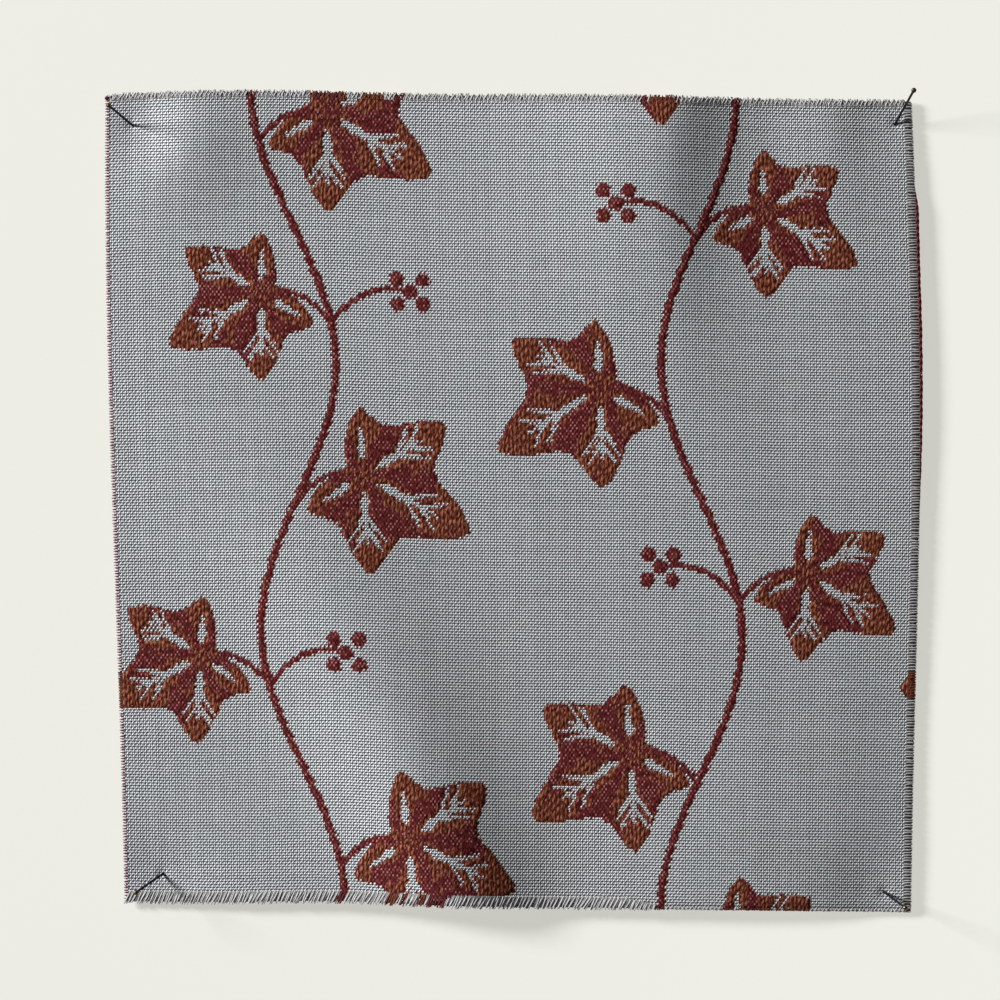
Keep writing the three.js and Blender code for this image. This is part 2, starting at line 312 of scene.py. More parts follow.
def polar(centre, radius, angle):
    return centre[0] + radius * math.cos(angle), centre[1] + radius * math.sin(angle)


def vein_slits(centre, size, turn):
    """Each slit's start, end, half width and taper."""
    slits = []
    for at, _ in LEAF_LOBES:
        reach = size * float(leaf_radius(at))
        for angle in {turn + at, turn - at}:
            start = polar(centre, VEIN_START * size, angle)
            end = polar(centre, VEIN_END * reach, angle)
            slits.append((start, end, VEIN_WIDTH, VEIN_TAPER))
            if at > math.pi / 2:
                continue
            for place, length in SIDE_VEINS:
                share = place / VEIN_END
                root = (lerp(start[0], end[0], share), lerp(start[1], end[1], share))
                for side in (SIDE_VEIN_TURN, -SIDE_VEIN_TURN):
                    tip = polar(root, length * size, angle + side)
                    slits.append((root, tip, SIDE_VEIN_WIDTH, SIDE_VEIN_TAPER))
    return slits


def leaf_depth(s, t, centre, size, turn):
    """Depth inside a leaf with its veins left bare, and how rusty its yarns are."""
    angle = np.arctan2(t - centre[1], s - centre[0]) - turn
    angle = (angle + math.pi) % (2 * math.pi) - math.pi
    radius = np.hypot(s - centre[0], t - centre[1])
    depth = size * leaf_radius(angle) - radius
    for start, end, width, taper in vein_slits(centre, size, turn):
        distance, share = distance_to_line(s, t, start, end)
        main = taper == VEIN_TAPER
        opening = np.minimum(1, share / VEIN_OPENING + VEIN_MOUTH) if main else 1
        depth = np.minimum(depth, distance - width * opening * (1 - taper * share))
    sway = 0.7 * np.sin(radius / 4 + size) + 0.5 * np.sin(0.5 * s + 0.9 * np.sin(0.4 * t))
    return depth, 0.5 + 0.42 * np.cos(6 * angle + sway)


def stalk_lines(root, end):
    """Short straight lines along a stalk that leaves its stem upwards and curves over."""
    bend = (lerp(root[0], end[0], STALK_BEND), max(root[1], end[1]) + STALK_ARCH)
    places = []
    for i in range(STALK_STEPS + 1):
        u = i / STALK_STEPS
        places.append(tuple((1 - u) ** 2 * root[n] + 2 * u * (1 - u) * bend[n] + u * u * end[n]
                            for n in (0, 1)))
    return list(zip(places, places[1:]))


def figure_parts():
    """Leaves as centre, size and turn, stalks as lines, and the berries' centres."""
    leaves, stalks, berries = [], [], []
    spacing = STEM_WAVE_LENGTH / LEAVES_PER_WAVE
    for index in range(len(STEM_PLACES)):
        for i in range(-1, math.ceil(SIDE / spacing) + 1):
            t = -HALF + (i + FIRST_LEAF + 0.5 * (index % 2)) * spacing
            root = (stem_place(index, t), t)
            side = 1 if (i + index) % 2 == 0 else -1
            size = LEAF_SIZE * (1 if i % 2 == 0 else SMALL_LEAF)
            centre = (root[0] + side * LEAF_REACH, root[1] + LEAF_RISE)
            turn = -LEAF_DROOP if side > 0 else math.pi + LEAF_DROOP
            leaves.append((centre, size, turn + LEAF_SWAY * math.sin(3 * i + index)))
            stalks += stalk_lines(root, centre)
            if i % 2:
                bunch = (root[0] - side * BERRY_REACH, root[1] + BERRY_RISE)
                stalks += stalk_lines(root, bunch)
                berries.append(bunch)
                berries += [polar(bunch, BERRY_RING, (n + 0.5) * math.pi / 2) for n in range(4)]
    return leaves, stalks, berries


def figure_field(s, t):
    """Depth inside the woven figure in mm, and the rusty share of its yarns from 0 to 1."""
    leaves, stalks, berries = figure_parts()
    depth = np.full(s.shape, -SIDE)
    rust = np.full(s.shape, STEM_RUST)
    for index, place in enumerate(STEM_PLACES):
        phase = 2 * math.pi * t / STEM_WAVE_LENGTH + index * math.pi
        slope = 2 * math.pi / STEM_WAVE_LENGTH * STEM_SWING * np.cos(phase)
        offset = np.abs(s - place - STEM_SWING * np.sin(phase)) / np.sqrt(1 + slope ** 2)
        depth = np.maximum(depth, STEM_WIDTH / 2 - offset)
    for start, end in stalks:
        depth = np.maximum(depth, STALK_WIDTH / 2 - distance_to_line(s, t, start, end)[0])
    for at in berries:
        depth = np.maximum(depth, BERRY_RADIUS - np.hypot(s - at[0], t - at[1]))
    for centre, size, turn in leaves:
        inside, zone = leaf_depth(s, t, centre, size, turn)
        rust = np.where(inside > 0, zone, rust)
        depth = np.maximum(depth, inside)
    return depth, rust


# Cloth meshes

def new_object(name, mesh, *materials):
    """Object at the origin with its mesh smooth and its materials in order."""
    for material in materials:
        mesh.materials.append(material)
    mesh.shade_smooth()
    piece = bpy.data.objects.new(name, mesh)
    bpy.context.scene.collection.objects.link(piece)
    return piece


def new_mesh(name, bm):
    """Mesh of a bmesh, which is freed."""
    mesh = bpy.data.meshes.new(name)
    bm.to_mesh(mesh)
    bm.free()
    return mesh


def write_values(mesh, **values):
    """Attributes of the mesh, each with a value for every vertex."""
    for name, numbers in values.items():
        attribute = mesh.attributes.new(name, "FLOAT", "POINT")
        attribute.data.foreach_set("value", numbers.astype(np.float32))


def on_cloth(u, v):
    """Flat cloth coordinates of a share of the woven area's width and height."""
    return lerp(WOVEN_LEFT, WOVEN_RIGHT, u), lerp(WOVEN_BOTTOM, WOVEN_TOP, v)


def woven_grid(name, columns, rows, keep=None, faces_back=False):
    """Flat grid with a vertex for each crossing, and its unit coordinates."""
    bm = bmesh.new()
    bm.loops.layers.uv.new(BAKED_MAP)
    bmesh.ops.create_grid(bm, x_segments=columns, y_segments=rows, size=0.5, calc_uvs=True)
    if keep is not None:
        unwanted = []
        for face in bm.faces:
            centre = face.calc_center_median()
            column, row = int((centre.x + 0.5) * columns), int((centre.y + 0.5) * rows)
            if not keep[row, column]:
                unwanted.append(face)
        bmesh.ops.delete(bm, geom=unwanted, context="FACES")
    if faces_back:
        bmesh.ops.reverse_faces(bm, faces=bm.faces[:])
    mesh = new_mesh(name, bm)
    flat = np.empty(len(mesh.vertices) * 3)
    mesh.vertices.foreach_get("co", flat)
    return mesh, flat[0::3] + 0.5, flat[1::3] + 0.5


def crossings(u, v, columns, rows):
    """Column and row of each vertex of a grid, and 1 where a crown stands there or else -1."""
    column, row = np.rint(u * columns).astype(int), np.rint(v * rows).astype(int)
    return column, row, np.where((column + row) % 2 == 0, 1.0, -1.0)


def edge_distance(s, t, left=0, right=0, bottom=0, top=0):
    """Distance to the nearest edge of the woven area, or to lines some way in from its edges."""
    return np.minimum(np.minimum(s - WOVEN_LEFT - left, WOVEN_RIGHT - right - s),
                      np.minimum(t - WOVEN_BOTTOM - bottom, WOVEN_TOP - top - t))


def bottom_looseness(s):
    return lerp(LOOSE_BOTTOM, FIRM_BOTTOM, smooth_step((s - FIRM_PLACE) / FIRM_CHANGE + 0.5))


def looseness(s, t):
    """From 0 in the firm weave to 1 where a cut has come loose."""
    firm = edge_distance(s, t, LOOSE_LEFT, LOOSE_RIGHT, bottom_looseness(s), LOOSE_TOP)
    return smooth_step(0.5 - firm / LOOSE_CHANGE)


def face_height(s, t):
    """Mean height of the cloth's face over its back, which meets it half way at the edges."""
    return 0.5 + 0.5 * np.sqrt(np.clip(edge_distance(s, t) / EDGE_ROUNDING, 0, 1))


def on_face(s, t, height):
    """Places in mm, in rows, of points of the flat cloth, each a height off the cloth's back."""
    x, z = place_on_plane(s, t)
    return np.stack([x, -(lift(x, z) + height), z], axis=-1)


def lay_over_folds(mesh, s, t, height):
    """Moves a flat grid onto the folds, with each vertex a height off the cloth's back."""
    mesh.vertices.foreach_set("co", (on_face(s, t, height) * MM).ravel())
    mesh.update()


def figure_cells(columns, rows):
    """Which cells of the lattice the figure's yarns cover."""
    column, row = np.meshgrid(np.arange(columns), np.arange(rows))
    s, t = on_cloth((column + 0.5) / columns, (row + 0.5) / rows)
    steps = np.where((column + row) % 2 == 0, BORDER_STEP, -BORDER_STEP)
    draw = np.random.default_rng(SEED)
    steps = steps + draw.uniform(-BORDER_STRAY, BORDER_STRAY, column.shape)
    return figure_field(s, t)[0] > steps


def figure_corners(cells):
    """Lattice points whose four cells all belong to the figure."""
    inner = np.zeros((cells.shape[0] + 1, cells.shape[1] + 1), bool)
    inner[1:-1, 1:-1] = cells[1:, 1:] & cells[:-1, 1:] & cells[1:, :-1] & cells[:-1, :-1]
    return inner


def weave_face(weave):
    """The cloth's face in two pieces that share their border: the ground and the figure."""
    columns, rows = weave.columns, weave.rows
    cells = figure_cells(columns, rows)
    inner = figure_corners(cells)
    uneven = np.random.default_rng(SEED).uniform(-1, 1, (rows + 1, columns + 1))
    pieces = []
    for name, keep in (("cloth_ground", ~cells), ("cloth_figure", cells)):
        mesh, u, v = woven_grid(name, columns, rows, keep)
        s, t = on_cloth(u, v)
        column, row, crown = crossings(u, v, columns, rows)
        draw = uneven[row, column]
        depth, rust = figure_field(s, t)
        float_ends = (row + 2 * (column // 2)) % 4 == 0
        rib = np.where(column % 2 == 0, 1.0, -RIB_GAP) * (1 - FLOAT_END * float_ends)
        raised = weave.figure_relief / MM * smooth_step(depth / BORDER_SLOPE)
        raised = raised + weave.relief / MM * (rib + FLOAT_STRAY * draw)
        level = weave.relief / MM * (crown + CROWN_STRAY * draw)
        relief = np.where(inner[row, column], raised, level)
        face = face_height(s, t)
        height = weave.thickness / MM * face + relief * (2 * face - 1)
        lay_over_folds(mesh, s, t, height - pucker(*place_on_plane(s, t)))
        write_values(mesh, rust=rust, loose=looseness(s, t))
        pieces.append(mesh)
    return pieces


def weave_back(weave):
    """The cloth's back, where the two sets of yarns change places."""
    columns, rows = weave.columns, weave.rows // 2
    mesh, u, v = woven_grid("cloth_back", columns, rows, faces_back=True)
    s, t = on_cloth(u, v)
    crown = crossings(u, v, columns, rows)[2]
    face = face_height(s, t)
    relief = BACK_RELIEF * weave.relief / MM * crown * (2 * face - 1)
    lay_over_folds(mesh, s, t, weave.thickness / MM * (1 - face) - relief)
    depth, rust = figure_field(s, t)
    write_values(mesh, depth=depth, rust=rust, loose=looseness(s, t))
    return mesh


# Yarn ends

def strands_mesh(name, strands, materials):
    """One mesh of round strands, each given by places and radii in mm and its material's number."""
    curve = bpy.data.curves.new(name, "CURVE")
    curve.dimensions = "3D"
    curve.bevel_depth = MM
    curve.bevel_resolution = 1
    curve.use_fill_caps = True
    for material in materials:
        curve.materials.append(material)
    holder = bpy.data.objects.new(name, curve)
    for points, radii, material in strands:
        spline = curve.splines.new("POLY")
        spline.points.add(len(points) - 1)
        places = np.column_stack([points * MM, np.ones(len(points))])
        spline.points.foreach_set("co", places.ravel())
        spline.points.foreach_set("radius", radii)
        spline.material_index = int(material)
    mesh = bpy.data.meshes.new_from_object(holder)
    bpy.data.objects.remove(holder)
    bpy.data.curves.remove(curve)
    return mesh


def loose_ends(draw, s, t, step_s, step_t, height, radius, materials):
    """Cut ends of yarns that leave the firm weave at s and t, and lie over its loose edge."""
    count = len(s)
    aside = draw.uniform(-END_BOW, END_BOW, (count, 1)) * np.sin(math.pi * END_SHARES)
    upright = np.abs(step_t) > np.abs(step_s)
    points_s = s[:, None] + step_s[:, None] * END_SHARES + aside * upright[:, None]
    points_t = t[:, None] + step_t[:, None] * END_SHARES + aside * ~upright[:, None]
    over = height * (END_SHARES > 0) - END_DIP * END_SHARES ** 2
    over = over + draw.uniform(-END_STRAY, END_STRAY, points_s.shape)
    places = on_face(points_s, points_t, face_height(s, t)[:, None] + over)
    swell = draw.uniform(1 - END_SWELL, 1 + END_SWELL, (count, 2))
    return [(places[i], radius * np.array([1.0, *swell[i], END_TIP]), materials[i])
            for i in range(count)]


def yarn_kinds(s, t, plain):
    """The plain yarns on the ground, and figure yarns where the figure runs off the edge."""
    depth, rust = figure_field(s, t)
    return np.where(depth <= 0, plain, np.where(rust > 0.5, RUST, WINE))


def warp_ends(fray, pitch):
    """Upright yarn ends along the top and bottom cuts, in layers that cross."""
    draw = np.random.default_rng(SEED)
    count = int((WOVEN_RIGHT - WOVEN_LEFT - UPRIGHT_FREE) / pitch)
    strands = []
    for edge, out, layers in ((WOVEN_TOP, 1, TOP_LAYERS), (WOVEN_BOTTOM, -1, BOTTOM_LAYERS)):
        for place, height, radius, plain, slant, spread in layers:
            s = WOVEN_LEFT + UPRIGHT_START + (np.arange(count) + place) * pitch
            s = s + draw.uniform(-UPRIGHT_STRAY, UPRIGHT_STRAY, count)
            inside = np.full(count, LOOSE_TOP) if out > 0 else bottom_looseness(s)
            past = fray.upright_reach / MM * draw.uniform(UPRIGHT_LEAST, 1, count)
            length = inside + past * np.minimum(1, inside / UPRIGHT_DEPTH)
            kinds = yarn_kinds(s, np.full(count, edge - out), np.full(count, plain))
            angle = np.radians(slant + spread * np.clip(draw.normal(0, 1, count), -2, 2))
            strands += loose_ends(draw, s, edge - inside * out, length * np.tan(angle) * out,
                                  length * out, height, radius, kinds)
    return strands


def weft_ends(fray, pitch):
    """Level yarn ends along the left and right cuts."""
    draw = np.random.default_rng(SEED + 1)
    count = int((WOVEN_TOP - WOVEN_BOTTOM) / pitch)
    strands = []
    for edge, out, loose, reach, layers in (
        (WOVEN_LEFT, -1, LOOSE_LEFT, fray.left_reach, LEFT_LAYERS),
        (WOVEN_RIGHT, 1, LOOSE_RIGHT, fray.right_reach, RIGHT_LAYERS),
    ):
        for place, height, radius, plain, wine_share, share in layers:
            t = WOVEN_BOTTOM + (np.arange(count) + place) * pitch
            t = t + draw.uniform(-LEVEL_STRAY, LEVEL_STRAY, count)
            length = loose + share * reach / MM * draw.uniform(LEVEL_LEAST, 1, count)
            plains = np.where(draw.random(count) < wine_share, WINE, plain)
            kinds = yarn_kinds(np.full(count, edge - out), t, plains)
            slant = draw.normal(0.0, LEVEL_SLANT, count)
            strands += loose_ends(draw, np.full(count, edge - loose * out), t, length * out,
                                  slant * length, height, radius, kinds)
    return strands


def twisted_yarn(path, radii, twist, plies):
    """Plies wound round a path of places in rows, with the yarn's radius at each."""
    ahead = np.gradient(path, axis=0)
    ahead /= np.linalg.norm(ahead, axis=1)[:, None]
    across = np.cross(ahead, (0, 1, 0))
    across /= np.linalg.norm(across, axis=1)[:, None]
    other = np.cross(ahead, across)
    length = np.concatenate([[0], np.cumsum(np.linalg.norm(np.diff(path, axis=0), axis=1))])
    strands = []
    for ply in range(plies):
        angle = 2 * math.pi * (length / twist + ply / plies)[:, None]
        offset = (across * np.cos(angle) + other * np.sin(angle)) * radii[:, None] / 2
        strands.append((path + offset, radii * PLY_SHARE, 0))
    return strands


def edge_thread():
    """Dark red yarn of the back that runs down the right cut, and the one knotted top left.

    The first one comes out from under the cut at its top, and goes back in slowly further down.
    """
    t = np.arange(EDGE_THREAD_TOP, EDGE_THREAD_BOTTOM, -EDGE_THREAD_STEP)
    share = np.linspace(0, 1, len(t))
    shown = smooth_step(share / 0.08) * smooth_step((1 - share) / 0.4)
    wander = 0.03 * np.sin(0.9 * t) + 0.05 * np.sin(0.17 * t + 1)
    s = EDGE_THREAD_PLACE - EDGE_THREAD_TUCK * (1 - shown) + wander
    radii = EDGE_THREAD_THIN + EDGE_THREAD_SWELL * shown
    strands = twisted_yarn(on_face(s, t, EDGE_THREAD_HEIGHT), radii, EDGE_THREAD_TWIST, 3)
    angle = np.linspace(0.6, 6.0, KNOT_POINTS)
    radius = np.linspace(0.2, 0.6, KNOT_POINTS)
    loop = on_face(KNOT_PLACE[0] + radius * np.cos(angle),
                   KNOT_PLACE[1] + 0.8 * radius * np.sin(angle), 0.9 + 0.3 * np.sin(2 * angle))
    return strands + twisted_yarn(loop, np.full(KNOT_POINTS, KNOT_RADIUS), KNOT_TWIST, 2)


# Materials

class Graph:
    """Short calls that add nodes to a tree and link them."""

    def __init__(self, tree):
        self.tree = tree

    def feed(self, socket, value):
        if isinstance(value, bpy.types.NodeSocket):
            self.tree.links.new(value, socket)
        else:
            socket.default_value = value

    def add(self, kind, *values, output=0, **settings):
        """Output of a new node whose inputs in use take the values in order."""
        node = self.tree.nodes.new("ShaderNode" + kind)
        for name, value in settings.items():
            setattr(node, name, value)
        for socket, value in zip([s for s in node.inputs if s.enabled], values):
            self.feed(socket, value)
        return [s for s in node.outputs if s.enabled][output]

    def math(self, operation, *values):
        return self.add("Math", *values, operation=operation)

    def plus(self, one, two):
        return self.math("ADD", one, two)

    def minus(self, one, two):
        return self.math("SUBTRACT", one, two)

    def times(self, one, two):
        return self.math("MULTIPLY", one, two)

    def scaled(self, value, factor, rise):
        return self.math("MULTIPLY_ADD", value, factor, rise)

    def wave(self, x, y, wave):
        """Cosine over two coordinates, from its cycles in each, its phase and its size."""
        x_cycles, y_cycles, phase, size = wave
        turns = self.scaled(y, 2 * math.pi * y_cycles, phase)
        angle = self.scaled(x, 2 * math.pi * x_cycles, turns)
        return self.times(self.math("COSINE", angle), size)

    def half_wave(self, value):
        """Cosine that changes sign from one thread to the next."""
        return self.math("COSINE", self.times(value, math.pi))

    def noise(self, vector, scale, detail):
        return self.add("TexNoise", vector, scale, detail, noise_dimensions="3D")

    def object_noise(self, scale, detail):
        return self.noise(self.add("TexCoord", output=3), scale, detail)

    def white(self, x, y):
        return self.add("TexWhiteNoise", self.add("CombineXYZ", x, y, 0.0), noise_dimensions="2D")

    def mix(self, factor, first, second, blend="MIX"):
        return self.add("Mix", factor, first, second, data_type="RGBA", blend_type=blend)

    def mix_values(self, factor, first, second):
        return self.add("Mix", factor, first, second, data_type="FLOAT")

    def between(self, value, low, high, to_low=0.0, to_high=1.0):
        return self.add("MapRange", value, low, high, to_low, to_high,
                        interpolation_type="SMOOTHSTEP")

    def attribute(self, name):
        return self.add("Attribute", attribute_name=name, output=2)

    def bump(self, strength, height):
        return self.add("Bump", strength, BUMP_DEPTH * MM, 0.1, height)

    def ramp(self, value, *stops):
        """Colour at a value, from stops that are each a place and a colour."""
        ramp = self.tree.nodes.new("ShaderNodeValToRGB")
        elements = ramp.color_ramp.elements
        while len(elements) < len(stops):
            elements.new(0.5)
        for element, (place, colour) in zip(elements, stops):
            element.position = place
            element.color = colour
        self.feed(ramp.inputs[0], value)
        return ramp.outputs[0]

    def call(self, group, *values):
        """Outputs of a node group."""
        node = self.tree.nodes.new("ShaderNodeGroup")
        node.node_tree = group
        for socket, value in zip(node.inputs, values):
            self.feed(socket, value)
        return node.outputs


def new_group(name, inputs, outputs):
    """Node group with float sockets unless a name ends in Vector."""
    group = bpy.data.node_groups.new(name, "ShaderNodeTree")
    for names, way in ((inputs, "INPUT"), (outputs, "OUTPUT")):
        for label in names:
            kind = "NodeSocketVector" if label.endswith("Vector") else "NodeSocketFloat"
            group.interface.new_socket(label, in_out=way, socket_type=kind)
    entry = group.nodes.new("NodeGroupInput")
    leave = group.nodes.new("NodeGroupOutput")
    return group, Graph(group), entry.outputs, leave.inputs


def thread_grid_group():
    """Counts threads across and up the cloth from its flat coordinates, with a slight drift."""
    group, g, entry, leave = new_group("thread_grid", ["Flat Vector", "Columns", "Rows", "Drift"],
                                       ["Across", "Up"])
    split = g.add("SeparateXYZ", entry["Flat Vector"]).node
    noise = g.noise(entry["Flat Vector"], 24.0, 2.0).node
    shift = g.add("SeparateColor", noise.outputs["Color"]).node
    for axis, count, label in ((0, "Columns", "Across"), (1, "Rows", "Up")):
        threads = g.times(split.outputs[axis], entry[count])
        moved = g.times(g.minus(shift.outputs[axis], 0.5), entry["Drift"])
        g.feed(leave[label], g.plus(threads, moved))
    return group


def crown_group():
    """Staggered crowns, one at each second crossing."""
    group, g, entry, leave = new_group("crown_weave", ["Across", "Up", "Slant"], ["Height", "Draw"])
    across, up = entry["Across"], entry["Up"]
    lean = g.times(g.minus(up, g.math("ROUND", up)), entry["Slant"])
    product = g.times(g.half_wave(g.minus(across, lean)), g.half_wave(up))
    g.feed(leave["Height"], g.scaled(product, 0.5, 0.5))
    one = g.math("ROUND", g.times(g.plus(across, up), 0.5))
    two = g.math("ROUND", g.times(g.minus(across, up), 0.5))
    g.feed(leave["Draw"], g.white(one, two))
    return group


def ground_group():
    """Tone of the ground weave as it looks from the front, with its crowns' light and shade painted
    in, and how high its yarns stand.
    """
    group, g, entry, leave = new_group("ground_weave", ["Across", "Up"], ["Tone", "Height"])
    across, up = entry["Across"], entry["Up"]
    total = g.wave(across, up, GROUND_WAVES[0])
    for wave in GROUND_WAVES[1:]:
        total = g.plus(total, g.wave(across, up, wave))
    row = g.math("ROUND", up)
    draw = g.white(g.math("ROUND", across), row)
    total = g.times(total, g.scaled(draw, CROSSING_SPREAD, CROSSING_LEAST))
    warp = g.white(g.math("ROUND", g.times(across, 0.5)), 0.5)
    weft = g.white(0.5, row)
    threads = g.scaled(g.plus(warp, weft), THREAD_STRAY, GROUND_TONE - THREAD_STRAY)
    patches = g.white(g.math("FLOOR", across), g.math("FLOOR", up))
    patches = g.scaled(patches, 2 * PATCH_STRAY, -PATCH_STRAY)
    g.feed(leave["Tone"], g.plus(g.plus(total, threads), patches))
    g.feed(leave["Height"], g.scaled(total, 1.2, 0.5))
    return group


def float_group():
    """Upright floats of the figure weave, side by side, each a few rows long."""
    group, g, entry, leave = new_group("float_weave", ["Across", "Up", "Length", "Slant"],
                                       ["Height", "Draw"])
    across, up = entry["Across"], entry["Up"]
    first = g.math("ROUND", g.times(across, 0.5))
    start = g.scaled(g.white(first, 3.0), 0.3, g.times(first, 0.5))
    along = g.plus(g.math("DIVIDE", up, entry["Length"]), start)
    share = g.math("FRACT", along)
    lean = g.times(g.minus(share, 0.5), entry["Slant"])
    width = g.scaled(g.half_wave(g.minus(across, lean)), 0.5, 0.5)
    ends = g.math("POWER", g.math("SINE", g.times(share, math.pi)), 0.6)
    g.feed(leave["Height"], g.times(width, g.scaled(ends, 0.7, 0.3)))
    g.feed(leave["Draw"], g.white(first, g.math("FLOOR", along)))
    return group


def grain_group():
    """Uneven streaks, about a thread wide, that lean a little and that no two floats share."""
    group, g, entry, leave = new_group("grain_weave", ["Across", "Up"], ["Value"])
    across = g.scaled(entry["Up"], -0.35, g.times(entry["Across"], 1.35))
    place = g.add("CombineXYZ", across, g.times(entry["Up"], 0.62), 0.0)
    g.feed(leave["Value"], g.between(g.noise(place, 1.0, 1.0), 0.25, 0.75))
    return group


def new_material(name, levels):
    """Material with plain levels on its shader's sockets, the graph to add to it, its shader."""
    material = bpy.data.materials.new(name)
    material.use_nodes = True
    shader = material.node_tree.nodes["Principled BSDF"]
    for socket, level in levels.items():
        shader.inputs[socket].default_value = level
    return material, Graph(material.node_tree), shader


def toned(colour, factor):
    """The colour made lighter or darker."""
    return (*(channel * factor for channel in colour[:3]), 1.0)


def woven_colours(g, groups, weave, across, up, rust):
    """Colour and height of the ground weave and of the figure weave at one place, with their light
    and shade painted into the colour.
    """
    tone, crown = g.call(groups["ground"], across, up)
    # The ground's ramp paints its light and shade: painted shadow in the gaps, painted shade on the
    # crowns' sides and a painted highlight on their tops
    ground = g.ramp(tone, (0.14, weave.gap), (0.41, weave.shade), (0.71, weave.ground),
                    (0.95, weave.highlight))
    grain = g.call(groups["grain"], across, up)[0]
    floats, float_draw = g.call(groups["float"], across, up, FLOAT_ROWS, FLOAT_LEAN)
    streak = g.scaled(g.minus(grain, floats), 0.6, floats)
    # The brown and dark red ramps paint light and shade as well: painted shade between the yarns
    # and a painted highlight on their tops
    brown = g.ramp(streak, (0.2, weave.dark), (0.52, weave.rust), (0.85, weave.light))
    small, small_draw = g.call(groups["crown"], across, up, CROWN_LEAN)
    speck = g.times(g.between(small, 0.55, 0.95), g.between(small_draw, 0.3, 0.95))
    patch = g.scaled(g.minus(grain, small), 0.7, small)
    red = g.ramp(patch, (0.2, weave.dark), (0.6, weave.wine), (0.95, toned(weave.wine, 2.0)))
    red = g.mix(speck, red, weave.speck)
    rusty = g.between(g.scaled(g.minus(float_draw, 0.5), 0.5, rust), 0.33, 0.47)
    flat_figure = g.scaled(speck, 0.4, g.times(patch, 0.45))
    return ground, crown, g.mix(rusty, red, brown), g.mix_values(rusty, flat_figure, streak)


def cloth_material(kind, weave, groups):
    """Material of the ground, of the figure, or of the back that shows both.

    It is darker where only loose ends cover the edge: painted shadow between and under the strands.
    """
    material, g, shader = new_material(f"{kind}_weave",
                                       {"Roughness": 0.82, "Specular IOR Level": 0.08})
    flat = g.add("UVMap", uv_map=BAKED_MAP)
    across, up = g.call(groups["grid"], flat, float(weave.columns), float(weave.rows), weave.drift)
    ground, crown, figure, floats = woven_colours(g, groups, weave, across, up,
                                                  g.attribute("rust"))
    if kind == "ground":
        colour, height = ground, crown
    elif kind == "figure":
        colour, height = figure, floats
    else:
        edge = g.scaled(g.minus(crown, 0.5), 0.5, g.attribute("depth"))
        mask = g.between(edge, -0.12, 0.12)
        colour, height = g.mix(mask, figure, ground), g.mix_values(mask, floats, crown)
    # Painted shadow under and between the loose ends along the cut
    shade = g.scaled(g.attribute("loose"), -0.25, 1.0)
    g.feed(shader.inputs["Base Color"], g.mix(1.0, colour, shade, "MULTIPLY"))
    g.feed(shader.inputs["Normal"], g.bump(1.0, height))
    return material


def yarn_material(name, colour, spread):
    """Spun yarn: fine fibres and a slow change of shade."""
    material, g, shader = new_material(name, {"Roughness": 0.85, "Specular IOR Level": 0.25})
    fibres, slow = g.object_noise(9000.0, 3.0), g.object_noise(900.0, 1.0)
    shade = g.plus(g.times(fibres, 0.5), g.times(slow, 0.5))
    tone = g.ramp(shade, (0.3, toned(colour, 1 - spread)), (0.7, toned(colour, 1 + spread)))
    g.feed(shader.inputs["Base Color"], tone)
    g.feed(shader.inputs["Normal"], g.bump(0.6, fibres))
    return material


def enamel_material(pins):
    """Glossy black enamel with faint scuffs."""
    material, g, shader = new_material("pin_enamel", {"Specular IOR Level": 0.12})
    scuffs = g.object_noise(2600.0, 4.0)
    tone = g.ramp(scuffs, (0.45, pins.enamel), (0.75, toned(pins.enamel, 2.5)))
    g.feed(shader.inputs["Base Color"], tone)
    g.feed(shader.inputs["Roughness"], g.between(scuffs, 0.3, 0.8, 0.3, 0.5))
    return material


def brass_material(pins):
    """Brass coloured ball, tarnished in patches."""
    material, g, shader = new_material("pin_brass", {"Metallic": 0.85})
    patches = g.object_noise(1700.0, 3.0)
    tone = g.ramp(patches, (0.35, toned(pins.brass, 0.35)), (0.65, pins.brass))
    g.feed(shader.inputs["Base Color"], tone)
    g.feed(shader.inputs["Roughness"], g.between(patches, 0.3, 0.7, 0.5, 0.24))
    return material


# Pins

def spun(profile, segments):
    """Closed body of revolution about Z from a profile of radius and height."""
    bm = bmesh.new()
    ring = [bm.verts.new((radius, 0, height)) for radius, height in profile]
    for one, two in zip(ring, ring[1:]):
        bm.edges.new((one, two))
    bmesh.ops.spin(bm, geom=bm.verts[:] + bm.edges[:], cent=(0, 0, 0), axis=(0, 0, 1),
                   dvec=(0, 0, 0), angle=2 * math.pi, steps=segments, use_merge=True)
    bmesh.ops.remove_doubles(bm, verts=bm.verts[:], dist=1e-7)
    bmesh.ops.recalc_face_normals(bm, faces=bm.faces[:])
    return bm


def shaft_profile(pins):
    """Tip, drawn point, wire and the small upset shoulder under the head, in metres."""
    radius = pins.shaft / 2
    tip = -(pins.length - pins.exposed - pins.head / 2)
    seat = pins.exposed - SEAT_SHARE * pins.head / 2
    point = [(radius * math.sin(share * math.pi / 2), tip + pins.point * share)
             for share in POINT_SHARES]
    wire = [(radius, lerp(tip + pins.point, seat, share)) for share in WIRE_SHARES]
    shoulder = [(radius * wide, seat - under * MM) for under, wide in SHOULDER]
    return [(0.0, tip)] + point + wire + shoulder + [(0.0, seat)]


def head_profile(pins):
    """Ball, a little flat on top and at its seat."""
    ball = pins.head / 2
    arc = []
    for i in range(BALL_STEPS + 1):
        angle = lerp(BALL_START * math.pi, BALL_END * math.pi, i / BALL_STEPS)
        arc.append((ball * math.sin(angle), pins.exposed - ball * math.cos(angle)))
    return [(0.0, arc[0][1])] + arc + [(0.0, arc[-1][1])]


